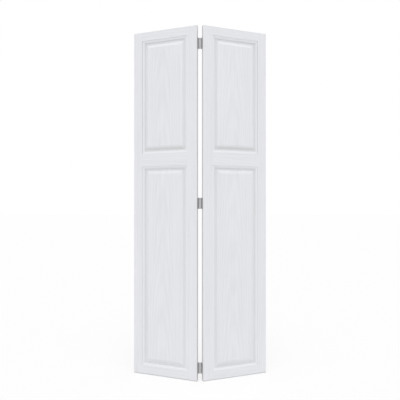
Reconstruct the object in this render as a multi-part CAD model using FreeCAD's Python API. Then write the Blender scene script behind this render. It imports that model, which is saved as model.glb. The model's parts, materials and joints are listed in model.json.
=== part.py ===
# Two-leaf folding closet door, stored part-folded with the fold towards the front.
# Each leaf is a doweled frame of stiles and rails round two raised panels. Three hinges, screwed to
# the meeting edges, join the leaves across an open gap. Sockets in the ends of the outer stiles take
# the pivots and the track guide of the opening.
# Millimetres, +Z up, front towards -Y, origin under the middle of the door, on the floor.
# A leaf is drawn flat: x from its hinge edge outwards, y from front to back about mid-thickness, z up.

import FreeCAD, Part
import math
import os

Vector = FreeCAD.Vector

# Leaf
LEAF_HEIGHT = 1994.0
LEAF_WIDTH = 389.0
LEAF_THICKNESS = 21.0
ARRIS_RADIUS = 1.5

# Stiles and rails: widths of their flat faces, up to where the moulding starts
HINGE_STILE_WIDTH = 56.5
OUTER_STILE_WIDTH = 54.0
BOTTOM_RAIL_WIDTH = 50.5
MIDDLE_RAIL_WIDTH = 73.5
TOP_RAIL_WIDTH = 50.0
UPPER_OPENING_HEIGHT = 659.0

# Moulding along the inner edges of stiles and rails, with the groove for the panel
QUIRK_DEPTH = 2.2
OVOLO_WIDTH = 13.0
OVOLO_DEPTH = 2.6
OVOLO_CROWN = 0.5
GROOVE_WIDTH = 5.4
GROOVE_DEPTH = 9.0

# Raised panels, from their tongue in the groove inwards to the field
TONGUE_END_ROOM = 1.5
TONGUE_CLEARANCE = 0.1
RECESS_WIDTH = 12.0
BEVEL_WIDTH = 18.0
BEVEL_CROWN = 1.3
SHOULDER_WIDTH = 1.0
SHOULDER_DEPTH = 2.2
FIELD_DEPTH = 1.0

# Dowels between rails and stiles
DOWEL_RADIUS = 4.0
DOWEL_IN_RAIL = 32.0
DOWEL_EDGE_MARGIN = 12.0
DOWEL_HOLE_SPARE = 1.0

# Pivot sockets in the ends of the outer stiles
SOCKET_BORE_RADIUS = 4.8
SOCKET_BORE_DEPTH = 40.0
SOCKET_LEAD_IN = 0.8
SOCKET_WALL = 1.7
SOCKET_FLOOR = 2.0
SOCKET_RIM_WIDTH = 1.5
SOCKET_RIM_HEIGHT = 1.5
SOCKET_TO_DOWEL = 3.0

# Fold: each leaf's turn from flat, and how far the hinge axis lies behind a leaf's back face
LEAF_TURN = 17.35
AXIS_TO_BACK = 3.0

# Hinges: the outer two's middles from the leaf's ends, plates, knuckles and pins
BOTTOM_HINGE_RISE = 69.0
TOP_HINGE_DROP = 95.5
HINGE_LENGTH = 62.0
PLATE_THICKNESS = 1.8
PLATE_ON_EDGE = 13.0
PLATE_CORNER_RADIUS = 3.0
PLATE_BEND_RADIUS = 0.6
WING_CLEARANCE = 0.4
KNUCKLE_COUNT = 5
KNUCKLE_RADIUS = 4.6
KNUCKLE_END_GAP = 0.3
KNUCKLE_RELIEF = 0.5
KNUCKLE_TO_PLATE = 3.77
PIN_RADIUS = 2.2
PIN_CLEARANCE = 0.05
PIN_TIP_HEIGHT = 1.2

# Hinge screws
SCREWS_PER_PLATE = 3
SCREW_RADIUS = 1.75
SCREW_HEAD_RADIUS = 3.35
SCREW_LENGTH = 19.0
SCREW_POINT = 4.0
SCREW_HOLE_CLEARANCE = 0.15
SCREW_END_MARGIN = 10.0
SCREW_STAGGER = 1.5
DRIVE_LENGTH = 3.4
DRIVE_WIDTH = 0.8
DRIVE_DEPTH = 1.1

# Sizes that follow
HALF_THICKNESS = LEAF_THICKNESS / 2
NOSE_DEPTH = QUIRK_DEPTH + OVOLO_DEPTH
GROOVE_HALF = GROOVE_WIDTH / 2
TONGUE_HALF = GROOVE_HALF - TONGUE_CLEARANCE
FAR_SIGHT = LEAF_WIDTH - OUTER_STILE_WIDTH
TOP_RAIL_SIGHT = LEAF_HEIGHT - TOP_RAIL_WIDTH
MIDDLE_RAIL_TOP = TOP_RAIL_SIGHT - UPPER_OPENING_HEIGHT
MIDDLE_RAIL_BASE = MIDDLE_RAIL_TOP - MIDDLE_RAIL_WIDTH
SOCKET_RADIUS = SOCKET_BORE_RADIUS + SOCKET_WALL
SOCKET_RIM_RADIUS = SOCKET_RADIUS + SOCKET_RIM_WIDTH
SOCKET_LENGTH = SOCKET_BORE_DEPTH + SOCKET_FLOOR
SOCKET_X = LEAF_WIDTH - OUTER_STILE_WIDTH / 2
DOWEL_OUTER_END = OUTER_STILE_WIDTH / 2 + SOCKET_RIM_RADIUS + SOCKET_TO_DOWEL
DOWEL_INNER_END = HINGE_STILE_WIDTH + OVOLO_WIDTH + DOWEL_IN_RAIL
PLATE_IN = KNUCKLE_RADIUS + KNUCKLE_TO_PLATE
AXIS_TO_EDGE = PLATE_IN + PLATE_THICKNESS
PLATE_FRONT = AXIS_TO_BACK + PLATE_ON_EDGE
KNUCKLE_LENGTH = (HINGE_LENGTH - (KNUCKLE_COUNT - 1) * KNUCKLE_END_GAP) / KNUCKLE_COUNT

# Where the hinge axis lies, so that the door's box is centred on the origin
TURN = math.radians(LEAF_TURN)
FRONT_REACH = AXIS_TO_EDGE * math.sin(TURN) - (AXIS_TO_BACK + LEAF_THICKNESS) * math.cos(TURN)
BACK_REACH = (AXIS_TO_EDGE + LEAF_WIDTH) * math.sin(TURN) - AXIS_TO_BACK * math.cos(TURN)
AXIS_Y = -(FRONT_REACH + BACK_REACH) / 2

ORIGIN = Vector(0, 0, 0)
ALONG_X = Vector(1, 0, 0)
ALONG_Y = Vector(0, 1, 0)
ALONG_Z = Vector(0, 0, 1)
ARC = "arc"
SAME = 1e-6


# Drawing

def closed_face(outline):
    """A face in the XY plane from (x, y) corners; one marked ARC is a point that an arc passes through."""
    corners = [*outline, outline[0]]
    edges = []
    start = Vector(*corners[0][:2])
    through = None
    for x, y, *mark in corners[1:]:
        point = Vector(x, y)
        if mark:
            through = point
            continue
        if through:
            edges.append(Part.Arc(start, through, point).toShape())
        else:
            edges.append(Part.LineSegment(start, point).toShape())
        start, through = point, None
    return Part.Face(Part.Wire(edges))


def both_faces(front):
    """The outline of a section that is alike on both faces, from its front half."""
    back = [(x, -y, *mark) for x, y, *mark in reversed(front)]
    return closed_face(front + back)


def crowned(start, end, crown):
    """The arc's mark between two points on the front face, raised by crown above their chord."""
    return ((start[0] + end[0]) / 2, (start[1] + end[1]) / 2 - crown, ARC)


def turned(profile):
    """A solid turned about Z from (radius, z) points that start and end on the axis."""
    points = [Vector(radius, 0, z) for radius, z in profile]
    return Part.Face(Part.makePolygon([*points, points[0]])).revolve(ORIGIN, ALONG_Z, 360)


def box(low, high):
    """A box between two corners."""
    return Part.makeBox(*(high - low), low)


def raised(shape, z):
    """A copy of a shape, moved up by z."""
    return shape.translated(Vector(0, 0, z))


def rounded(shape, radius, **place):
    """Rounds the edges that lie all along at the given coordinates, such as x=1.0, y=2.0."""
    def lies_there(edge):
        ends = [vertex.Point for vertex in edge.Vertexes]
        return all(abs(getattr(end, axis) - value) < SAME for end in ends for axis, value in place.items())
    return shape.makeFillet(radius, [edge for edge in shape.Edges if lies_there(edge)])


# Placing

def placed_hinge_side(shape, side):
    """Puts a shape drawn flat about the hinge axis, for the right leaf, in its place on either side."""
    if side == "left":
        shape = shape.mirror(ORIGIN, ALONG_X)
    turn = LEAF_TURN if side == "right" else -LEAF_TURN
    return shape.rotated(ORIGIN, ALONG_Z, turn).translated(Vector(0, AXIS_Y, 0))


def placed_leaf(shape, side):
    """Puts a shape drawn on the flat leaf in its place on either side."""
    to_axis = Vector(AXIS_TO_EDGE, -AXIS_TO_BACK - HALF_THICKNESS, 0)
    return placed_hinge_side(shape.translated(to_axis), side)


# Stiles and rails

def moulded_half(sight, inwards):
    """The front half of a moulded edge: face, quirk, ovolo, nose and panel groove, with inwards +1 or -1."""
    quirk = (sight, QUIRK_DEPTH - HALF_THICKNESS)
    nose = (sight + inwards * OVOLO_WIDTH, NOSE_DEPTH - HALF_THICKNESS)
    lip = (nose[0], -GROOVE_HALF)
    groove = (nose[0] - inwards * GROOVE_DEPTH, -GROOVE_HALF)
    return [(sight, -HALF_THICKNESS), quirk, crowned(quirk, nose, OVOLO_CROWN), nose, lip, groove]


def edge_member(edge, sight):
    """The section of a member with a square edge on the outside of the leaf and moulding inside."""
    inwards = 1 if sight > edge else -1
    return both_faces([(edge, -HALF_THICKNESS), *moulded_half(sight, inwards)])


def middle_member(low_sight, high_sight):
    """The section of a member with moulding on both edges."""
    low = moulded_half(low_sight, -1)
    high = moulded_half(high_sight, 1)
    return both_faces([*reversed(low), *high])


def coped_rail(section, stiles):
    """A rail between the stiles, from its section in height, cut at both ends to fit their moulding."""
    end = section.rotated(ORIGIN, ALONG_Y, -90).translated(Vector(HINGE_STILE_WIDTH, 0, 0))
    return end.extrude(Vector(FAR_SIGHT - HINGE_STILE_WIDTH, 0, 0)).cut(stiles)


def eased_blank():
    """The whole leaf as one slab with eased edges, to which stiles and rails are trimmed."""
    low = Vector(0, -HALF_THICKNESS, 0)
    slab = box(low, Vector(LEAF_WIDTH, HALF_THICKNESS, LEAF_HEIGHT))
    return slab.makeFillet(ARRIS_RADIUS, slab.Edges)


def frame_members():
    """The stiles and rails of one leaf, before their holes."""
    upright = Vector(0, 0, LEAF_HEIGHT)
    members = {
        "hinge_stile": edge_member(0, HINGE_STILE_WIDTH).extrude(upright),
        "outer_stile": edge_member(LEAF_WIDTH, FAR_SIGHT).extrude(upright),
    }
    stiles = Part.makeCompound(list(members.values()))
    rails = {
        "bottom_rail": edge_member(0, BOTTOM_RAIL_WIDTH),
        "middle_rail": middle_member(MIDDLE_RAIL_BASE, MIDDLE_RAIL_TOP),
        "top_rail": edge_member(LEAF_HEIGHT, TOP_RAIL_SIGHT),
    }
    for name, section in rails.items():
        members[name] = coped_rail(section, stiles)
    return members


# Dowels

def dowel_heights():
    """Heights of the two dowels at each end of every rail."""
    rails = [
        (0, BOTTOM_RAIL_WIDTH),
        (MIDDLE_RAIL_BASE, MIDDLE_RAIL_TOP),
        (TOP_RAIL_SIGHT, LEAF_HEIGHT),
    ]
    for base, top in rails:
        yield base + DOWEL_EDGE_MARGIN
        yield top - DOWEL_EDGE_MARGIN


def dowels(spare=0):
    """The dowels of one leaf, or their holes when there is spare room at the ends."""
    length = DOWEL_INNER_END - DOWEL_OUTER_END + 2 * spare
    pieces = []
    for z in dowel_heights():
        for start in (DOWEL_OUTER_END, LEAF_WIDTH - DOWEL_INNER_END):
            base = Vector(start - spare, 0, z)
            pieces.append(Part.makeCylinder(DOWEL_RADIUS, length, base, ALONG_X))
    return Part.makeCompound(pieces)


# Raised panels

def panel_section(low_sight, high_sight):
    """A panel's section between two opening edges: tongue, recess, bevel, shoulder and field."""
    tongue = OVOLO_WIDTH - GROOVE_DEPTH + TONGUE_END_ROOM
    recess_end = OVOLO_WIDTH + RECESS_WIDTH
    bevel_end = recess_end + BEVEL_WIDTH
    bevel_foot = (recess_end, -TONGUE_HALF)
    bevel_top = (bevel_end, SHOULDER_DEPTH - HALF_THICKNESS)
    low_half = [
        (tongue, -TONGUE_HALF),
        bevel_foot,
        crowned(bevel_foot, bevel_top, BEVEL_CROWN),
        bevel_top,
        (bevel_end + SHOULDER_WIDTH, FIELD_DEPTH - HALF_THICKNESS),
    ]
    low = [(low_sight + inset, y, *mark) for inset, y, *mark in low_half]
    high = [(high_sight - inset, y, *mark) for inset, y, *mark in reversed(low_half)]
    return both_faces(low + high)


def raised_panel(base, top):
    """A panel raised alike on both faces, mitred at its corners: its section across by its section up."""
    across = panel_section(HINGE_STILE_WIDTH, FAR_SIGHT).extrude(Vector(0, 0, LEAF_HEIGHT))
    up = panel_section(base, top).rotated(ORIGIN, ALONG_Y, -90).extrude(Vector(LEAF_WIDTH, 0, 0))
    return across.common(up)


# Pivot sockets

def socket_outside():
    """The socket's outer shape, hanging from z 0, which is also its hole in the stile."""
    return turned([
        (0, 0),
        (SOCKET_RIM_RADIUS, 0),
        (SOCKET_RIM_RADIUS, -SOCKET_RIM_HEIGHT),
        (SOCKET_RADIUS, -SOCKET_RIM_HEIGHT),
        (SOCKET_RADIUS, -SOCKET_LENGTH),
        (0, -SOCKET_LENGTH),
    ])


def socket():
    """A rimmed socket with a blind bore and a lead-in at its mouth, hanging from z 0."""
    bore = turned([
        (0, 0),
        (SOCKET_BORE_RADIUS + SOCKET_LEAD_IN, 0),
        (SOCKET_BORE_RADIUS, -SOCKET_LEAD_IN),
        (SOCKET_BORE_RADIUS, -SOCKET_BORE_DEPTH),
        (0, -SOCKET_BORE_DEPTH),
    ])
    return socket_outside().cut(bore)


def in_top_end(shape):
    """Sets a shape that hangs from z 0 in the top end of the outer stile."""
    return shape.translated(Vector(SOCKET_X, 0, LEAF_HEIGHT))


def in_bottom_end(shape):
    """Sets a shape that hangs from z 0, turned over, in the bottom end of the outer stile."""
    return shape.rotated(ORIGIN, ALONG_X, 180).translated(Vector(SOCKET_X, 0, 0))


# Hinges, drawn flat about their axis for the right leaf, from z 0 up

def plate_blank():
    """The bent plate: a flange on the leaf's edge and a wing that reaches to the axis."""
    flange = box(Vector(PLATE_IN, -PLATE_FRONT, 0), Vector(AXIS_TO_EDGE, -WING_CLEARANCE, HINGE_LENGTH))
    wing_front = -WING_CLEARANCE - PLATE_THICKNESS
    wing = box(Vector(0, wing_front, 0), Vector(AXIS_TO_EDGE, -WING_CLEARANCE, HINGE_LENGTH))
    plate = flange.fuse(wing).removeSplitter()
    plate = rounded(plate, PLATE_BEND_RADIUS, x=PLATE_IN, y=wing_front)
    plate = rounded(plate, PLATE_BEND_RADIUS + PLATE_THICKNESS, x=AXIS_TO_EDGE, y=-WING_CLEARANCE)
    for z in (0, HINGE_LENGTH):
        plate = rounded(plate, PLATE_CORNER_RADIUS, y=-PLATE_FRONT, z=z)
    return plate


def screw_spots():
    """(y, z) of the screws on a plate, with every second one nearer the front."""
    middle = -AXIS_TO_BACK - PLATE_ON_EDGE / 2
    step = (HINGE_LENGTH - 2 * SCREW_END_MARGIN) / max(SCREWS_PER_PLATE - 1, 1)
    for number in range(SCREWS_PER_PLATE):
        stagger = -SCREW_STAGGER if number % 2 else SCREW_STAGGER
        yield middle + stagger, SCREW_END_MARGIN + number * step


def screw_outside(radius):
    """A countersunk screw's outer shape with a shank of the given radius, from z 0 up to its point."""
    return turned([
        (0, 0),
        (SCREW_HEAD_RADIUS, 0),
        (radius, SCREW_HEAD_RADIUS - radius),
        (radius, SCREW_LENGTH - SCREW_POINT),
        (0, SCREW_LENGTH),
    ])


def screw():
    """A countersunk screw with a cross drive, from z 0 up to its point."""
    shape = screw_outside(SCREW_RADIUS)
    reach = Vector(DRIVE_LENGTH / 2, DRIVE_WIDTH / 2, 0)
    slot = box(-reach, reach + Vector(0, 0, DRIVE_DEPTH))
    return shape.cut([slot, slot.rotated(ORIGIN, ALONG_Z, 90)])


def screwed_in(shape):
    """Copies of a shape drawn from z 0 up, turned to point into the leaf at each screw of a plate."""
    pointing = shape.rotated(ORIGIN, ALONG_Y, 90)
    return [pointing.translated(Vector(PLATE_IN, y, z)) for y, z in screw_spots()]


def hinge_plate(slots, bore_radius):
    """A plate with its knuckles at the given slots, cleared round the other plate's knuckles."""
    plate = plate_blank()
    for slot in range(KNUCKLE_COUNT):
        base = slot * (KNUCKLE_LENGTH + KNUCKLE_END_GAP)
        if slot in slots:
            plate = plate.fuse(Part.makeCylinder(KNUCKLE_RADIUS, KNUCKLE_LENGTH, Vector(0, 0, base)))
        else:
            length = KNUCKLE_LENGTH + 2 * KNUCKLE_END_GAP
            start = Vector(0, 0, base - KNUCKLE_END_GAP)
            plate = plate.cut(Part.makeCylinder(KNUCKLE_RADIUS + KNUCKLE_RELIEF, length, start))
    bore = Part.makeCylinder(bore_radius, HINGE_LENGTH)
    holes = screwed_in(screw_outside(SCREW_RADIUS + SCREW_HOLE_CLEARANCE))
    return plate.cut([bore, *holes]).removeSplitter()


def hinge_pin():
    """The pin through all the knuckles, with a coned tip at each end."""
    tip = PIN_RADIUS - PIN_TIP_HEIGHT
    return turned([
        (0, -PIN_TIP_HEIGHT),
        (tip, -PIN_TIP_HEIGHT),
        (PIN_RADIUS, 0),
        (PIN_RADIUS, HINGE_LENGTH),
        (tip, HINGE_LENGTH + PIN_TIP_HEIGHT),
        (0, HINGE_LENGTH + PIN_TIP_HEIGHT),
    ])


def hinge_feet():
    """The height of each hinge's lower end, by hinge."""
    middles = {
        "bottom": BOTTOM_HINGE_RISE,
        "middle": LEAF_HEIGHT / 2,
        "top": LEAF_HEIGHT - TOP_HINGE_DROP,
    }
    return {name: middle - HINGE_LENGTH / 2 for name, middle in middles.items()}


# Assembly

def leaf_holes():
    """Every hole in one leaf's stiles and rails: for dowels, sockets and hinge screws."""
    sockets = [in_top_end(socket_outside()), in_bottom_end(socket_outside())]
    to_leaf = Vector(-AXIS_TO_EDGE, AXIS_TO_BACK + HALF_THICKNESS, 0)
    pilots = [
        raised(pilot, foot).translated(to_leaf)
        for foot in hinge_feet().values()
        for pilot in screwed_in(screw_outside(SCREW_RADIUS))
    ]
    return [*dowels(DOWEL_HOLE_SPARE).Solids, *sockets, *pilots]


def leaf_pieces():
    """The pieces of one leaf, drawn flat."""
    blank = eased_blank()
    holes = leaf_holes()
    pieces = {name: member.common(blank).cut(holes) for name, member in frame_members().items()}
    pieces["lower_panel"] = raised_panel(BOTTOM_RAIL_WIDTH, MIDDLE_RAIL_BASE)
    pieces["upper_panel"] = raised_panel(MIDDLE_RAIL_TOP, TOP_RAIL_SIGHT)
    pieces["dowels"] = dowels()
    pieces["top_pivot_socket"] = in_top_end(socket())
    pieces["bottom_pivot_socket"] = in_bottom_end(socket())
    return pieces


def hinge_pieces():
    """The plates, pins and screws of the three hinges, in place."""
    plates = {
        "left": hinge_plate(range(0, KNUCKLE_COUNT, 2), PIN_RADIUS),
        "right": hinge_plate(range(1, KNUCKLE_COUNT, 2), PIN_RADIUS + PIN_CLEARANCE),
    }
    pieces = {}
    for name, foot in hinge_feet().items():
        pieces[f"{name}_hinge_pin"] = raised(hinge_pin(), foot).translated(Vector(0, AXIS_Y, 0))
        for side, plate in plates.items():
            pieces[f"{name}_hinge_{side}_plate"] = placed_hinge_side(raised(plate, foot), side)
    for side in plates:
        screws = [raised(one, foot) for foot in hinge_feet().values() for one in screwed_in(screw())]
        pieces[f"{side}_hinge_screws"] = placed_hinge_side(Part.makeCompound(screws), side)
    return pieces


def door():
    """Every piece of the door in place, by name."""
    pieces = {}
    for name, shape in leaf_pieces().items():
        for side in ("left", "right"):
            pieces[f"{side}_{name}"] = placed_leaf(shape, side)
    pieces.update(hinge_pieces())
    return pieces


os.makedirs("parts", exist_ok=True)
for name, shape in door().items():
    sound = all(solid.isValid() and solid.Volume > 0 for solid in shape.Solids)
    print(f"{name}: {len(shape.Solids)} solids, {shape.Volume / 1000:.2f} cm3, sound {sound}")
    Part.makeCompound(shape.Solids).exportStep(f"parts/{name}.step")

mouth = placed_leaf(in_top_end(Part.Vertex(ORIGIN)), "right").Point
print(f"hinge axis x 0, y {AXIS_Y:.4f}; right top socket mouth {mouth.x:.4f}, {mouth.y:.4f}, {mouth.z:.4f}")
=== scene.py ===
# %% [markdown]
# # A bifold closet door
# Two tall white leaves, hinged to each other and stood part-folded, with the fold towards the viewer.
# The construction is already drawn as solids. This lesson loads it as a fixed frame, remakes the joinery
# with finer mouldings, paints it, and sets it in front of a camera. Everything is in metres.

# %% Load the construction
import json
import math

import bmesh
import bpy
from mathutils import Matrix, Vector


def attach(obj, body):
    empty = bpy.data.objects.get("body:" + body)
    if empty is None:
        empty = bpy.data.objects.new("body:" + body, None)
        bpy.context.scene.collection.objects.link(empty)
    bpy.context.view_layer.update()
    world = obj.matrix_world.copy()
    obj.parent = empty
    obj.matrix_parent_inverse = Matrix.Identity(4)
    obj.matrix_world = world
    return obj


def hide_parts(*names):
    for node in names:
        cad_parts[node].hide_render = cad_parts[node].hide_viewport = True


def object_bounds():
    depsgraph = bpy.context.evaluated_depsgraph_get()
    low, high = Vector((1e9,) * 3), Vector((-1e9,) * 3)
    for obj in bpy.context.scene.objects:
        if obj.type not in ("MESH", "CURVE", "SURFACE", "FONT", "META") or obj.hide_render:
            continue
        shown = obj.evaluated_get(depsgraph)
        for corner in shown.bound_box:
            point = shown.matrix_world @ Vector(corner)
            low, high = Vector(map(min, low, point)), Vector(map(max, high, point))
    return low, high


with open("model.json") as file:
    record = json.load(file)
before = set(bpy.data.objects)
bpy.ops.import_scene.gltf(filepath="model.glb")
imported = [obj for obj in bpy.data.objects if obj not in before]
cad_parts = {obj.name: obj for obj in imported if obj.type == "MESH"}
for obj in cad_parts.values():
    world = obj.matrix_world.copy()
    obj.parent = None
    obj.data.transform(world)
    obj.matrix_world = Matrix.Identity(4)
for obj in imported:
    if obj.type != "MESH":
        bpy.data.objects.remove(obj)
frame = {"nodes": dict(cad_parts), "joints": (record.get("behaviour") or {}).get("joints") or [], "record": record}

cad_low, cad_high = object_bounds()
print(f"{len(frame['nodes'])} solids, box {[round(side, 4) for side in cad_high - cad_low]} m")

# %% [markdown]
# ## How the leaves stand
# A joiner draws a leaf lying flat, and so does this lesson: x runs across the leaf from its middle, away
# from the hinges, y from its front to its back, and z up. Each leaf then needs one matrix that stands it
# in its place. The sizes could be typed in, but the frame knows where each leaf's foot and pivot socket
# are, and these two points on the leaf's middle line give the turn.

# %% Stand a flat leaf in its place
SIDES = ("left", "right")
UP = Vector((0, 0, 1))
spots = {mount["name"]: Vector(mount["pos_m"]) for mount in frame["record"]["mounts"]}


def leaf_stand(side):
    """The matrix that takes a piece from the flat drawing to its place on that side."""
    foot = spots[f"{side}_foot"]
    outwards = spots[f"{side}_bottom_pivot_socket"] - foot
    outwards.z = 0
    outwards.normalize()
    backwards = UP.cross(outwards) if side == "right" else outwards.cross(UP)
    return Matrix.Translation(foot) @ Matrix((outwards, backwards, UP)).transposed().to_4x4()


def leaf_turn(side):
    """How far a leaf's own x is turned from the room's, in radians."""
    across = leaf_stand(side).to_3x3() @ Vector((1, 0, 0))
    return math.atan2(across.y, across.x) if side == "right" else math.atan2(-across.y, -across.x)


for side in SIDES:
    print(side, "leaf is turned", round(math.degrees(leaf_turn(side)), 2), "degrees")

# %% Measure the solids on the flat leaf
def on_leaf(name, side="right"):
    """The lowest and highest corners of a solid, along its leaf's own axes."""
    lay_flat = leaf_stand(side).inverted()
    corners = [lay_flat @ vert.co for vert in frame["nodes"][f"{side}_{name}"].data.vertices]
    return Vector(map(min, zip(*corners))), Vector(map(max, zip(*corners)))


stile_low, stile_high = on_leaf("outer_stile")
HALF_WIDTH, HALF_THICKNESS, HEIGHT = stile_high
print(f"leaf {2 * HALF_WIDTH:.4f} wide, {2 * HALF_THICKNESS:.4f} thick, {HEIGHT:.4f} high")

# %% [markdown]
# ## The moulded section
# Stiles and rails all have the same edge: a flat face, a small step down that joiners call a quirk, a
# rounded ovolo, and a groove that holds the panel. A lathe or a bevel could round a block, but a moulding
# is easier to draw as a line, once, and to draw out into a bar. The pen moves along straight runs, and
# spin carries it round the arcs. Only the front half is drawn, and mirror gives the back.

# %% A pen for straight runs and arcs
ARC_STEPS = 8
MERGE = 1e-6


def run(bm, pen, *points):
    """Draws straight runs from the vertex pen through the points, and returns the last vertex."""
    for x, y in points:
        tip = bm.verts.new((x, y, 0))
        bm.edges.new((pen, tip))
        pen = tip
    return pen


def crown(bm, pen, x, y, rise):
    """Draws an arc from the vertex pen to a point, standing proud of the straight line towards the front."""
    end = Vector((x, y, 0))
    chord = end - pen.co
    proud = Vector((chord.y, -chord.x, 0)).normalized()
    turn = 1 if proud.y < 0 else -1
    half = chord.length / 2
    radius = (half ** 2 + rise ** 2) / (2 * rise)
    centre = (pen.co + end) / 2 - proud * turn * (radius - rise)
    angle = turn * 2 * math.asin(half / radius)
    arc = bmesh.ops.spin(bm, geom=[pen], cent=centre, axis=UP, angle=angle, steps=ARC_STEPS)
    return next(item for item in arc["geom_last"] if isinstance(item, bmesh.types.BMVert))


# %% The moulded edge and the eased edge
MOULDING_WIDTH = 0.013
QUIRK_DEPTH = 0.0022
OVOLO_DEPTH = 0.0026
OVOLO_RISE = 0.0005
GROOVE_HALF = 0.0027
GROOVE_DEPTH = 0.009
EASED = 0.0015
QUARTER_RISE = 1 - math.cos(math.radians(45))


def moulded_edge(bm, pen, sight, inwards):
    """Draws from the face over the quirk and ovolo into the panel groove, as far as mid-thickness."""
    nose = sight + inwards * MOULDING_WIDTH
    groove = nose - inwards * GROOVE_DEPTH
    pen = run(bm, pen, (sight, -HALF_THICKNESS), (sight, QUIRK_DEPTH - HALF_THICKNESS))
    pen = crown(bm, pen, nose, QUIRK_DEPTH + OVOLO_DEPTH - HALF_THICKNESS, OVOLO_RISE)
    run(bm, pen, (nose, -GROOVE_HALF), (groove, -GROOVE_HALF), (groove, 0))


def edge_section(edge, sight):
    """The section of a bar at the leaf's edge: eased outside, moulded inside."""
    bm = bmesh.new()
    inwards = math.copysign(1, sight - edge)
    pen = run(bm, bm.verts.new((edge, 0, 0)), (edge, EASED - HALF_THICKNESS))
    pen = crown(bm, pen, edge + inwards * EASED, -HALF_THICKNESS, EASED * QUARTER_RISE)
    moulded_edge(bm, pen, sight, inwards)
    bmesh.ops.mirror(bm, geom=bm.verts[:] + bm.edges[:], axis="Y", merge_dist=MERGE)
    return bm


def middle_section(half):
    """The section of a bar that is moulded on both edges, centred on 0."""
    bm = bmesh.new()
    moulded_edge(bm, bm.verts.new((0, -HALF_THICKNESS, 0)), half, 1)
    for axis in "YX":
        bmesh.ops.mirror(bm, geom=bm.verts[:] + bm.edges[:], axis=axis, merge_dist=MERGE)
    return bm


# %% Draw a section out into a bar
def draw_out(bm, start, end):
    """Fills the drawn section and draws it out along z, from start to end."""
    bmesh.ops.translate(bm, verts=bm.verts, vec=UP * start)
    face = bmesh.ops.contextual_create(bm, geom=bm.edges[:])["faces"][0]
    drawn = bmesh.ops.extrude_face_region(bm, geom=[face])["geom"]
    tips = [item for item in drawn if isinstance(item, bmesh.types.BMVert)]
    bmesh.ops.translate(bm, verts=tips, vec=UP * (end - start))
    bmesh.ops.recalc_face_normals(bm, faces=bm.faces)
    return bm


def as_piece(name, bm):
    """Puts a finished bmesh in the scene, with its rounded faces shaded smooth and its flat ones flat."""
    for face in bm.faces:
        face.smooth = max(map(abs, face.normal)) < 1 - MERGE
    mesh = bpy.data.meshes.new(name)
    bm.to_mesh(mesh)
    bm.free()
    piece = bpy.data.objects.new(name, mesh)
    bpy.context.collection.objects.link(piece)
    return piece


# %% [markdown]
# ## Stiles
# The two stiles are the uprights of a leaf. They run its whole height, so they are the section drawn out
# in one length. Their ends are eased by hand with a plane, which a bevel on the end edges does here, but
# only round the plain part: the moulding at the ends is hidden in the rails. The outer stile is drilled
# at both ends for its pivot sockets.

# %% Ease the ends of a stile
END_EASED = 0.001
EASING_STEPS = 3


def plain_ends(bm, edge, sight):
    """The edges round the ends of a stile, apart from its moulding and the wall of its quirk."""
    low, high = min(edge, sight) - MERGE, max(edge, sight) + MERGE
    for rim in bm.edges:
        first, last = (vert.co for vert in rim.verts)
        at_end = any(abs(first.z - z) < MERGE and abs(last.z - z) < MERGE for z in (0, HEIGHT))
        plain = low < first.x < high and low < last.x < high
        quirk = abs(first.x - sight) < MERGE and abs(last.x - sight) < MERGE
        if at_end and plain and not quirk:
            yield rim


def stile(edge, sight):
    """One upright, with its ends eased outside the moulding."""
    bm = draw_out(edge_section(edge, sight), 0, HEIGHT)
    ends = list(plain_ends(bm, edge, sight))
    bmesh.ops.bevel(bm, geom=ends, offset=END_EASED, offset_type="OFFSET", segments=EASING_STEPS,
                    profile=0.5, affect="EDGES", material=-1, clamp_overlap=False)
    return bm


# %% Make the stiles
HINGE_SIGHT = on_leaf("hinge_stile")[1].x - MOULDING_WIDTH
OUTER_SIGHT = stile_low.x + MOULDING_WIDTH
flat = {
    "hinge_stile": as_piece("hinge_stile", stile(-HALF_WIDTH, HINGE_SIGHT)),
    "outer_stile": as_piece("outer_stile", stile(HALF_WIDTH, OUTER_SIGHT)),
}
print("stiles", [len(piece.data.polygons) for piece in flat.values()], "faces")

# %% [markdown]
# ## Rails, coped to the stiles
# A rail's ends are coped: cut to the reverse of the stile's moulding, so the two mouldings meet in a neat
# inside mitre. The cope could be drawn, but the stile's own section is the right cutter. It is drawn out a
# little longer than the stile, so that no two end faces lie on each other, and a Boolean modifier cuts it
# out of each rail. The manifold solver suits closed shapes like these and gives the same mesh every time.

# %% Cutters for the copes
CUTTER_OVER = 0.01


def carve(piece, *cutters):
    """Cuts the shapes of the cutters out of a piece, and takes the cutters away."""
    for cutter in cutters:
        cut = piece.modifiers.new(cutter.name, "BOOLEAN")
        cut.operation, cut.solver, cut.object = "DIFFERENCE", "MANIFOLD", cutter
    seen = piece.evaluated_get(bpy.context.evaluated_depsgraph_get())
    carved = bpy.data.meshes.new_from_object(seen)
    piece.modifiers.clear()
    piece.data = carved
    for cutter in cutters:
        bpy.data.objects.remove(cutter)
    return piece


def cope_cutter(edge, sight):
    """A bar with a stile's section, longer than the stile."""
    section = edge_section(edge, sight)
    return as_piece("cope_cutter", draw_out(section, -CUTTER_OVER, HEIGHT + CUTTER_OVER))


# %% Make the rails and cope them
LAY_DOWN = Matrix.Rotation(math.radians(-90), 4, "Y")


def rail(name, bm, height=0):
    """One crossbar from its section in height, coped between the stiles."""
    draw_out(bm, -HINGE_SIGHT, -OUTER_SIGHT)
    bmesh.ops.transform(bm, matrix=Matrix.Translation(UP * height) @ LAY_DOWN, verts=bm.verts)
    cutters = cope_cutter(-HALF_WIDTH, HINGE_SIGHT), cope_cutter(HALF_WIDTH, OUTER_SIGHT)
    return carve(as_piece(name, bm), *cutters)


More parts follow.
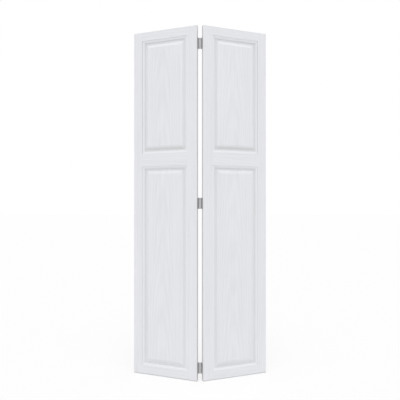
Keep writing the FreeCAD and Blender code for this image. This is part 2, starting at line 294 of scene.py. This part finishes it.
bottom_sight = on_leaf("bottom_rail")[1].z - MOULDING_WIDTH
top_sight = on_leaf("top_rail")[0].z + MOULDING_WIDTH
middle_low, middle_high = on_leaf("middle_rail")
middle_half = (middle_high.z - middle_low.z) / 2 - MOULDING_WIDTH
flat["bottom_rail"] = rail("bottom_rail", edge_section(0, bottom_sight))
flat["middle_rail"] = rail("middle_rail", middle_section(middle_half), (middle_low.z + middle_high.z) / 2)
flat["top_rail"] = rail("top_rail", edge_section(HEIGHT, top_sight))
print("rails between sight lines", round(bottom_sight, 4), round(top_sight, 4))

# %% Drill the outer stile for its sockets
SOCKET_RIM = (0.008, 0.0015)  # radius, depth
SOCKET_BODY = (0.0065, 0.042)
DRILL_STEPS = 48


def drill(end, up):
    """A stepped drill for one socket: wide and shallow for its rim, then narrow and deep for its body."""
    bm = bmesh.new()
    (rim, shallow), (body, deep) = SOCKET_RIM, SOCKET_BODY
    tip, step, start = (end - up * depth for depth in (deep, shallow, -CUTTER_OVER))
    corners = ((0, tip), (body, tip), (body, step), (rim, step), (rim, start), (0, start))
    outline = [bm.verts.new((x, 0, z)) for x, z in corners]
    edges = [bm.edges.new(pair) for pair in zip(outline, outline[1:])]
    bmesh.ops.spin(bm, geom=outline + edges, axis=UP, angle=math.tau, steps=DRILL_STEPS, use_merge=True)
    bmesh.ops.remove_doubles(bm, verts=bm.verts, dist=MERGE)
    bmesh.ops.recalc_face_normals(bm, faces=bm.faces)
    bmesh.ops.translate(bm, verts=bm.verts, vec=((HALF_WIDTH + OUTER_SIGHT) / 2, 0, 0))
    return as_piece("drill", bm)


carve(flat["outer_stile"], drill(HEIGHT, 1), drill(0, -1))
print("outer stile", len(flat["outer_stile"].data.polygons), "faces after drilling")

# %% [markdown]
# ## Raised panels
# A raised panel is a thick board whose margin is shaped down to a thin tongue, which floats in the
# grooves. A slab as thin as the tongue is a good start: each inset of its front and back face draws one
# more mitred ring towards the middle and lifts it a little, so the crowned bevel, the small shoulder and
# the flat field come out with clean corners.

# %% Work out the panel's rings
TONGUE_HALF = 0.0026
RECESS_END = 0.025
TONGUE_START = 0.0055
BEVEL_WIDTH = 0.018
BEVEL_CROWN = 0.0013
SHOULDER = (0.001, 0.0012)  # width, lift


def bevel_rings(width, height, crown_rise):
    """(width, lift) of each ring of a bevel that is crowned like the ovolo."""
    bm = bmesh.new()
    crown(bm, bm.verts.new((0, 0, 0)), width, -height, crown_rise)
    points = sorted((vert.co.x, -vert.co.y) for vert in bm.verts)
    bm.free()
    return [(far[0] - near[0], far[1] - near[1]) for near, far in zip(points, points[1:])]


field_half = on_leaf("lower_panel")[1].y
bevel_height = field_half - SHOULDER[1] - TONGUE_HALF
rings = [(RECESS_END - TONGUE_START, 0), *bevel_rings(BEVEL_WIDTH, bevel_height, BEVEL_CROWN), SHOULDER]
print(len(rings), "rings, lifted", round(sum(lift for _, lift in rings), 5))

# %% Make the panels
def raised_panel(name):
    """One panel in its grooves, raised alike on both faces."""
    low, high = on_leaf(name)
    bm = bmesh.new()
    bmesh.ops.create_cube(bm, size=1)
    bmesh.ops.scale(bm, vec=(high.x - low.x, 2 * TONGUE_HALF, high.z - low.z), verts=bm.verts)
    bmesh.ops.translate(bm, vec=(low + high) / 2, verts=bm.verts)
    for field in [face for face in bm.faces if abs(face.normal.y) > 1 - MERGE]:
        for width, lift in rings:
            bmesh.ops.inset_region(bm, faces=[field], thickness=width, depth=lift, use_even_offset=True)
    for edge in bm.edges:
        along = edge.verts[0].co - edge.verts[1].co
        edge.smooth = min(abs(along.x), abs(along.z)) < MERGE
    return as_piece(name, bm)


for name in ("lower_panel", "upper_panel"):
    flat[name] = raised_panel(name)
    print(name, len(flat[name].data.polygons), "faces", [round(side, 4) for side in flat[name].dimensions])

# %% [markdown]
# ## Put the joinery on both leaves
# The two leaves are mirror images. Each flat piece is copied to both, with its place in its mesh and its
# object at the origin, so a pattern that reads object coordinates stays put on the door. A mirrored mesh
# is inside out, so its normals are turned round again. The new piece then stands for its solid.

# %% Copy the flat pieces to the leaves
SHARP_ANGLE = math.radians(24)
joinery = {}
for side in SIDES:
    for name, pattern in flat.items():
        bm = bmesh.new()
        bm.from_mesh(pattern.data)
        bmesh.ops.remove_doubles(bm, verts=bm.verts, dist=MERGE)
        for edge in bm.edges:
            edge.smooth = edge.smooth and edge.calc_face_angle(math.pi) < SHARP_ANGLE
        bmesh.ops.transform(bm, matrix=leaf_stand(side), verts=bm.verts)
        if side == "left":
            bmesh.ops.reverse_faces(bm, faces=bm.faces)
        mesh = bpy.data.meshes.new(f"{side}_{name}_painted")
        bm.to_mesh(mesh)
        bm.free()
        piece = bpy.data.objects.new(mesh.name, mesh)
        bpy.context.collection.objects.link(piece)
        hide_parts(f"{side}_{name}")
        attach(piece, f"{side}_leaf")
        joinery[side, name] = piece
for pattern in flat.values():
    bpy.data.objects.remove(pattern)
print(len(joinery), "painted pieces,", sum(len(piece.data.polygons) for piece in joinery.values()), "faces")

# %% [markdown]
# ## White paint over wood
# The leaves are sprayed with satin white paint, a touch cool in tone. The wood shows through it as grain:
# long streaks and short sunk pores along the board, and faint bands of figure that bow into arches on a
# panel and run nearly straight on a stile. A picture could be wrapped round the boards, but nodes can
# grow the grain as a log does. Bands follow a bowed line about the log's heart, noise makes them wander,
# and finer noise, stretched lengthways, gives the streaks and pores.

# %% Helpers for shader nodes
def add_node(tree, kind, inputs=(), **properties):
    """Adds a shader node; an input takes a number, a colour, or another node's output to link."""
    node = tree.nodes.new(f"ShaderNode{kind}")
    for key, value in properties.items():
        setattr(node, key, value)
    for socket, value in dict(inputs).items():
        if isinstance(value, bpy.types.NodeSocket):
            tree.links.new(value, node.inputs[socket])
        else:
            node.inputs[socket].default_value = value
    return node


def calculate(tree, operation, *values):
    """The output of a Math node."""
    return add_node(tree, "Math", enumerate(values), operation=operation).outputs[0]


def ranged(tree, value, low, high, to_low=0, to_high=1):
    """The output of a Map Range node, clamped."""
    limits = {"From Min": low, "From Max": high, "To Min": to_low, "To Max": to_high}
    return add_node(tree, "MapRange", {"Value": value, **limits}).outputs[0]


def mixed(tree, factor, first, second):
    """The output of a Mix node between two colours."""
    inputs = {"Factor": factor, "A": first, "B": second}
    return add_node(tree, "Mix", inputs, data_type="RGBA").outputs["Result"]


def stretched_noise(tree, vector, scale, detail=2):
    """Noise whose spots are stretched by a scale along each axis, in spots per metre."""
    stretch = add_node(tree, "Mapping", {"Vector": vector, "Scale": scale}).outputs[0]
    return add_node(tree, "TexNoise", {"Vector": stretch, "Scale": 1, "Detail": detail}).outputs[0]


def finish(name, **sockets):
    """A new material, and its Principled shader with some sockets set."""
    material = bpy.data.materials.new(name)
    material.use_nodes = True
    shader = material.node_tree.nodes["Principled BSDF"]
    for key, value in sockets.items():
        shader.inputs[key].default_value = value
    return material, shader


# %% The grain of one board
BANDS_BOW = 520
BANDS_CLIMB = 4.5
WANDER = (26, 26, 2.2)
WANDER_BANDS = 1.6
FIGURE_RANGE = (-0.6, 1)
STREAKS = (170, 170, 1.4)
STREAK_RANGE = (0.35, 0.65)
PORES = (900, 900, 22)
PORE_RANGE = (0.54, 0.66)
PORES_OFF_FIGURE = 0.35
MOTTLE = (9, 9, 3)
MOTTLE_RANGE = (0.3, 0.7)
FIGURE_SHARE, STREAK_SHARE, PORE_SHARE, MOTTLE_SHARE = 0.20, 0.30, 0.30, 0.20
FIGURE_RELIEF = 0.35


def wood_grain(tree, across, through, along, heart):
    """How far the grain shows, from 0 to 1, and how deep it is sunk; heart is the log's, off the middle."""
    place = add_node(tree, "CombineXYZ", {"X": across, "Y": through, "Z": along}).outputs[0]
    aside = calculate(tree, "ADD", across, heart)
    bow = calculate(tree, "MULTIPLY", calculate(tree, "MULTIPLY", aside, aside), BANDS_BOW)
    bands = calculate(tree, "MULTIPLY_ADD", along, BANDS_CLIMB, bow)
    wander = stretched_noise(tree, place, WANDER)
    bands = calculate(tree, "MULTIPLY_ADD", wander, WANDER_BANDS, bands)
    wave = calculate(tree, "SINE", calculate(tree, "MULTIPLY", bands, math.tau))
    figure = ranged(tree, wave, *FIGURE_RANGE)
    pores = ranged(tree, stretched_noise(tree, place, PORES), *PORE_RANGE)
    pores = calculate(tree, "MULTIPLY", pores, ranged(tree, figure, 0, 1, PORES_OFF_FIGURE, 1))
    streaks = ranged(tree, stretched_noise(tree, place, STREAKS, detail=3), *STREAK_RANGE)
    mottle = ranged(tree, stretched_noise(tree, place, MOTTLE), *MOTTLE_RANGE)

    shade = calculate(tree, "MULTIPLY", figure, FIGURE_SHARE)
    shade = calculate(tree, "MULTIPLY_ADD", streaks, STREAK_SHARE, shade)
    shade = calculate(tree, "MULTIPLY_ADD", pores, PORE_SHARE, shade)
    shade = calculate(tree, "MULTIPLY_ADD", mottle, MOTTLE_SHARE, shade)
    sunk = calculate(tree, "MULTIPLY_ADD", figure, FIGURE_RELIEF, pores)
    return shade, sunk


# %% [markdown]
# ## Thick paint, painted highlight and painted shade
# Sprayed paint isn't the same all over. On the ovolo's round and on the bevel's crest, above all on the upper
# panels, it is thick and hides the grain, and it is lighter there as a painted highlight. The quirks are
# painted darker as painted shade, most of all the stiles' quirks beside the upper panels, and the leaf's edge
# faces and its foot carry painted shade and a painted shadow. The recess is painted a little darker and warmer
# in tone as painted shade, and more painted shade lies on the bevel at the foot of the upper panels. Each mesh
# could be painted by hand, but the layers follow the depth below the face and the distance from an edge, so
# a few numbers, worked out on the flat leaf, tell them apart.

# %% The coat and painted shade on stiles and rails
PAINT = (0.800, 0.808, 0.838, 1)
# Painted shade in the quirks, darkest in the stiles' quirks beside the upper panels.
PAINTED_SHADE_IN_QUIRK = (0.660, 0.663, 0.675, 1)
PAINTED_SHADE_IN_UPPER_QUIRK = (0.380, 0.382, 0.390, 1)
# Painted shade on the leaf's edge faces, like the shade in the gap between the leaves, and a painted shadow at its
# foot.
PAINTED_SHADE_ON_EDGES = (0.570, 0.573, 0.585, 1)
EDGE_SHADE_REACH = (0.0002, 0.0008)  # all shaded, none shaded
FOOT_SHADOW_REACH = (0.0045, 0.006)
HAIR = 0.00002


def coat_and_shade_on_frame(tree, painted, kind, x, y, z):
    """The paint on a stile or rail at its place on the leaf, with a painted highlight on the ovolo and painted
    shade in the quirk, on the edges and at the foot.
    """
    from_side = calculate(tree, "SUBTRACT", HALF_WIDTH, calculate(tree, "ABSOLUTE", x))
    from_edge = calculate(tree, "MINIMUM", from_side, calculate(tree, "SUBTRACT", HEIGHT, z))
    depth = calculate(tree, "SUBTRACT", HALF_THICKNESS, calculate(tree, "ABSOLUTE", y))
    # Painted highlight: the ovolo's round turns to the plain paint, lighter, with its grain hidden by a thick
    # coat.
    highlight_on_ovolo = ranged(tree, depth, QUIRK_DEPTH, QUIRK_DEPTH + OVOLO_DEPTH, 1, 0)
    colour = mixed(tree, highlight_on_ovolo, painted, PAINT)

    # Painted shade in the quirk, where the crease lies in shade.
    quirk_shade = PAINTED_SHADE_IN_QUIRK
    if kind == "stile":
        beside_upper = ranged(tree, z, middle_low.z, middle_high.z)
        quirk_shade = mixed(tree, beside_upper, PAINTED_SHADE_IN_QUIRK, PAINTED_SHADE_IN_UPPER_QUIRK)
    above_ovolo = ranged(tree, depth, QUIRK_DEPTH, QUIRK_DEPTH + HAIR, 1, 0)
    colour = mixed(tree, above_ovolo, colour, quirk_shade)

    eased = ranged(tree, calculate(tree, "MINIMUM", from_edge, z), 2 * EASED, 2 * EASED + HAIR, 1, 0)
    on_face = calculate(tree, "MAXIMUM", ranged(tree, depth, 0, HAIR, 1, 0), eased)
    colour = mixed(tree, on_face, colour, painted)
    # Painted shade on the edge faces, and a painted shadow along the foot.
    edge_shade = ranged(tree, from_edge, *EDGE_SHADE_REACH, 1, 0)
    foot_shadow = ranged(tree, z, *FOOT_SHADOW_REACH, 1, 0)
    return mixed(tree, calculate(tree, "MAXIMUM", edge_shade, foot_shadow), colour, PAINTED_SHADE_ON_EDGES)


# %% The coat and painted shade on panels
# Painted highlight on the bevel's crest, strongest on the upper panels.
CREST_HIGHLIGHT_START = 0.5
CREST_HIGHLIGHT_SHARE = {"upper_panel": 1, "lower_panel": 0.2}
# Painted shade in the recess, a little warmer in tone.
PAINTED_SHADE_IN_RECESS = (0.705, 0.708, 0.716, 1)
RECESS_SHADE = 0.58
SHADE_RISE_IN_RECESS = 0.4
# Painted shade on the down-facing bevel at the foot of the upper panels.
PAINTED_SHADE_UNDER_BEVEL = (0.620, 0.621, 0.626, 1)
PANEL_FOOT_SHADE = {"upper_panel": 0.65, "lower_panel": 0}
SHADE_SPAN_AT_PANEL_FOOT = (0.008, 0.021, 0.040)  # none, most, none


def coat_and_shade_on_panel(tree, painted, board, y, above_foot):
    """The paint on a panel, with painted shade in the recess and at the foot of the upper panels, and a painted
    highlight on the crest.
    """
    rise = calculate(tree, "SUBTRACT", calculate(tree, "ABSOLUTE", y), TONGUE_HALF)
    # Painted highlight on the crest, where a thick coat also hides the grain.
    highlight_on_crest = ranged(tree, rise, CREST_HIGHLIGHT_START * bevel_height, bevel_height, 0, CREST_HIGHLIGHT_SHARE[board])
    colour = mixed(tree, highlight_on_crest, painted, PAINT)
    # Painted shade in the recess, fading up the bevel.
    shade_in_recess = ranged(tree, rise, 0, SHADE_RISE_IN_RECESS * bevel_height, RECESS_SHADE, 0)
    colour = mixed(tree, shade_in_recess, colour, PAINTED_SHADE_IN_RECESS)
    # Painted shade on the bevel at the foot of the upper panels.
    low, middle, high = SHADE_SPAN_AT_PANEL_FOOT
    shade_at_foot = ranged(tree, above_foot, middle, high, PANEL_FOOT_SHADE[board], 0)
    shade_at_foot = ranged(tree, above_foot, low, middle, 0, shade_at_foot)
    colour = mixed(tree, shade_at_foot, colour, PAINTED_SHADE_UNDER_BEVEL)
    field = field_half - TONGUE_HALF
    return mixed(tree, ranged(tree, rise, field - HAIR, field), colour, painted)


# %% [markdown]
# ## Paint the boards
# Every board is cut from its own place in a log, so each gets a material of its own with the grain moved
# along by a seed. A Mapping node turns the pattern with its leaf, and taking away the board's middle
# centres it. The grain of a rail runs across the door, so there the two directions change places. The same
# grain also sets the gloss and sinks the surface a little.

# %% One paint for each board
PAINT_IN_GRAIN = (0.700, 0.708, 0.742, 1)
SATIN = (0.40, 0.56)
GRAIN_BUMP = {"Strength": 0.35, "Distance": 0.0003}
HEARTS = {"stile": 0.115, "panel": 0.012, "rail": 0.075}
BOARD_SEED = 0.83


def white_paint(name, side, board, corners, seed):
    """Satin white paint on one board, over grain that is centred on its corners."""
    kind = board.split("_")[-1]
    material, shader = finish(name)
    tree = material.node_tree
    turn, foot = leaf_turn(side), spots[f"{side}_foot"]
    spin = Matrix.Rotation(-turn, 3, "Z")
    place = {"Rotation": (0, 0, -turn), "Location": -(spin @ foot)}
    place["Vector"] = add_node(tree, "TexCoord").outputs["Object"]
    leaf = add_node(tree, "Mapping", place).outputs[0]
    leaf_x, y, leaf_z = add_node(tree, "SeparateXYZ", {"Vector": leaf}).outputs
    middle = spin @ (sum(corners, Vector()) / len(corners) - foot)
    x = calculate(tree, "SUBTRACT", leaf_x, middle.x)
    z = calculate(tree, "SUBTRACT", leaf_z, middle.z)
    across, along = (z, x) if kind == "rail" else (x, z)
    along = calculate(tree, "ADD", along, seed)
    shade, sunk = wood_grain(tree, across, y, along, HEARTS[kind])

    colour = mixed(tree, shade, PAINT, PAINT_IN_GRAIN)
    if kind == "panel":
        above_foot = calculate(tree, "SUBTRACT", leaf_z, min(corner.z for corner in corners))
        colour = coat_and_shade_on_panel(tree, colour, board, y, above_foot)
    else:
        colour = coat_and_shade_on_frame(tree, colour, kind, leaf_x, y, leaf_z)
    relief = add_node(tree, "Bump", {"Height": sunk, **GRAIN_BUMP}, invert=True)
    tree.links.new(colour, shader.inputs["Base Color"])
    tree.links.new(ranged(tree, shade, 0, 1, *SATIN), shader.inputs["Roughness"])
    tree.links.new(relief.outputs["Normal"], shader.inputs["Normal"])
    return material


for number, ((side, board), piece) in enumerate(joinery.items()):
    corners = [Vector(corner) for corner in piece.bound_box]
    paint = white_paint(piece.name, side, board, corners, BOARD_SEED * number)
    piece.data.materials.append(paint)
print(len(joinery), "boards painted, with hearts", HEARTS)

# %% [markdown]
# ## Hinges, screws, sockets and dowels
# The hinges, their pins and screws, and the sockets have the right shape already, so their solids stay
# and only get a finish. The plates are stamped from steel and plated in satin nickel, with a fine brushed
# line, and their rolled knuckles are lighter: rubbed bright, and a painted highlight along the barrel. The
# screws are zinc plated, the sockets are milky nylon, and the dowels inside the joints are beech. One recipe
# serves them all: noise that is stretched to suit each material varies its colour, its gloss and its surface
# together.

# %% A worked finish
KNUCKLE_REACH = (0.0047, 0.0056)  # all rubbed and highlit, none
RUBBED_WITH_HIGHLIGHT = (0.80, 0.80, 0.80, 1)
SPOT_RANGE = (0.3, 0.7)
SPOT_BUMP = 0.3
hinge_axis = Vector(frame["joints"][0]["pos_m"])


def worked(name, light, dark, metallic, roughness, scale, depth=1e-4, worn_and_highlit=False):
    """A finish that varies with one stretched noise; a rubbed one is lighter near the hinge axis, with wear and a
    painted highlight.
    """
    material, shader = finish(name, Metallic=metallic)
    tree = material.node_tree
    place = add_node(tree, "TexCoord").outputs["Object"]
    vary = ranged(tree, stretched_noise(tree, place, scale, detail=3), *SPOT_RANGE)
    colour = mixed(tree, vary, (*dark, 1), (*light, 1))
    if worn_and_highlit:
        x, y, _ = add_node(tree, "SeparateXYZ", {"Vector": place}).outputs
        y = calculate(tree, "SUBTRACT", y, hinge_axis.y)
        from_axis = add_node(tree, "CombineXYZ", {"X": x, "Y": y}).outputs[0]
        reach = add_node(tree, "VectorMath", {0: from_axis}, operation="LENGTH").outputs["Value"]
        # Lighter knuckles: rubbed wear and a painted highlight along the barrel.
        colour = mixed(tree, ranged(tree, reach, *KNUCKLE_REACH, 1, 0), colour, RUBBED_WITH_HIGHLIGHT)
    relief = add_node(tree, "Bump", {"Height": vary, "Strength": SPOT_BUMP, "Distance": depth})
    tree.links.new(colour, shader.inputs["Base Color"])
    tree.links.new(ranged(tree, vary, 0, 1, *roughness), shader.inputs["Roughness"])
    tree.links.new(relief.outputs["Normal"], shader.inputs["Normal"])
    return material


# %% Metal, nylon and beech
finishes = {
    "plate": worked("satin_nickel", light=(0.56, 0.56, 0.57), dark=(0.42, 0.42, 0.43), metallic=1,
                    roughness=(0.46, 0.34), scale=(2600, 2600, 70), worn_and_highlit=True),
    "pin": worked("bright_steel", light=(0.66, 0.66, 0.66), dark=(0.52, 0.52, 0.52), metallic=1,
                  roughness=(0.38, 0.26), scale=(900, 900, 900)),
    "screws": worked("zinc_plate", light=(0.60, 0.60, 0.57), dark=(0.46, 0.46, 0.45), metallic=1,
                     roughness=(0.44, 0.30), scale=(700, 700, 700)),
    "socket": worked("milky_nylon", light=(0.74, 0.73, 0.69), dark=(0.66, 0.65, 0.61), metallic=0,
                     roughness=(0.50, 0.38), scale=(500, 500, 500)),
    "dowels": worked("beech", light=(0.62, 0.44, 0.27), dark=(0.46, 0.30, 0.17), metallic=0,
                     roughness=(0.70, 0.55), scale=(60, 900, 900), depth=2e-4),
}
for name, node in frame["nodes"].items():
    for ending, material in finishes.items():
        if name.endswith(ending):
            node.data.materials.clear()
            node.data.materials.append(material)
            print(name, "in", material.name)

# %% [markdown]
# ## The camera
# The photograph is taken straight on, with the horizon at half the door's height, from a little over two
# metres away: near enough that the folded middle looks clearly taller than the outer edges. Tilting the
# camera would make the uprights lean, so it stays level, and a small lens shift sets the door in the
# frame instead.

# %% Set up the camera
CAMERA_AWAY = 2.140
SENSOR = 36
LENS = 34.47
FRAME_SHIFT = 0.00825
camera = bpy.data.objects.new("camera", bpy.data.cameras.new("camera"))
bpy.context.collection.objects.link(camera)
camera.data.sensor_width = SENSOR
camera.data.lens = LENS
camera.data.shift_y = FRAME_SHIFT
camera.location = (0, cad_low.y - CAMERA_AWAY, HEIGHT / 2)
camera.rotation_euler = (math.radians(90), 0, 0)
bpy.context.scene.camera = camera
print("camera at", [round(part, 3) for part in camera.location], "with a", LENS, "mm lens")

# %% [markdown]
# ## Floor and white background
# The door stands in a white studio. White could come from more light, but that would wash out the paint.
# Instead the floor and the world show white only to rays from the camera, or by way of a reflection, and
# light the door at a plain level. The floor keeps a share of its own shading, so the door still has a
# soft shadow at its foot.

# %% What the camera sees
def seen(tree):
    """An output that is 1 for rays from the camera or off a glossy or clear surface, and 0 for light."""
    path = add_node(tree, "LightPath").outputs
    mirrored = calculate(tree, "MAXIMUM", path["Is Glossy Ray"], path["Is Transmission Ray"])
    return calculate(tree, "MAXIMUM", path["Is Camera Ray"], mirrored)


def show_white(tree, plain_light, white_light, share, output):
    """Mixes in white for what the camera sees."""
    factor = calculate(tree, "MULTIPLY", seen(tree), share)
    mix = add_node(tree, "MixShader", {0: factor, 1: plain_light.outputs[0], 2: white_light.outputs[0]})
    tree.links.new(mix.outputs[0], tree.nodes[output].inputs["Surface"])


# %% Lay the floor
FLOOR_REACH = 30
FLOOR_PALE = 0.75
FLOOR_SEEN = 0.78
FLOOR_WHITE = 0.75
FLOOR_ROUGHNESS = 0.9
bm = bmesh.new()
bmesh.ops.create_grid(bm, x_segments=1, y_segments=1, size=FLOOR_REACH)
floor = as_piece("floor", bm)
material, shader = finish("pale_floor", Roughness=FLOOR_ROUGHNESS)
tree = material.node_tree
tree.links.new(ranged(tree, seen(tree), 0, 1, FLOOR_PALE, FLOOR_SEEN), shader.inputs["Base Color"])
show_white(tree, shader, add_node(tree, "Emission"), FLOOR_WHITE, "Material Output")
floor.data.materials.append(material)
print("floor", 2 * FLOOR_REACH, "m square")

# %% [markdown]
# ## Light
# The shading on the mouldings tells where the light is. Edges that face up are a little brighter, edges
# that face down are clearly darker, and left and right match. So one broad light hangs high above, a
# little in front, and a glow from all round fills in: fuller from the two sides, where soft boxes stand,
# and dimmer from behind. A sun lamp with a wide angle gives the broad light from above at the same
# strength from the top of the door to its foot, and the world gives the glow.

# %% Light the studio
WHITE = (1, 1, 1, 1)
AMBIENT = 0.75
SIDE_GLOW = 0.5
DIM_BEHIND = 0.35
KEY_STRENGTH = 1.4
KEY_HEIGHT = 75
KEY_SOFTNESS = 40
world = bpy.data.worlds.new("studio")
bpy.context.scene.world = world
world.use_nodes = True
tree = world.node_tree
glow = tree.nodes["Background"]
glow.inputs["Color"].default_value = WHITE
direction = add_node(tree, "TexCoord").outputs["Generated"]
x, y, _ = add_node(tree, "SeparateXYZ", {"Vector": direction}).outputs
level = calculate(tree, "MULTIPLY_ADD", calculate(tree, "MULTIPLY", x, x), SIDE_GLOW, 1)
level = calculate(tree, "SUBTRACT", level, ranged(tree, y, 0, 1, 0, DIM_BEHIND))
tree.links.new(calculate(tree, "MULTIPLY", level, AMBIENT), glow.inputs["Strength"])
show_white(tree, glow, add_node(tree, "Background", {"Color": WHITE}), 1, "World Output")

key = bpy.data.objects.new("key_light", bpy.data.lights.new("key_light", "SUN"))
bpy.context.collection.objects.link(key)
key.data.energy = KEY_STRENGTH
key.data.angle = math.radians(KEY_SOFTNESS)
key.rotation_euler = (math.radians(90 - KEY_HEIGHT), 0, 0)
bpy.context.scene.view_settings.view_transform = "Standard"
print("key light", KEY_HEIGHT, "degrees up, glow", AMBIENT)

# %% [markdown]
# ## The drawn size
# The painted door has to be the size that was drawn, so the drawn box is printed.

# %% Print the drawn size
print("drawn", [round(side, 4) for side in cad_high - cad_low])
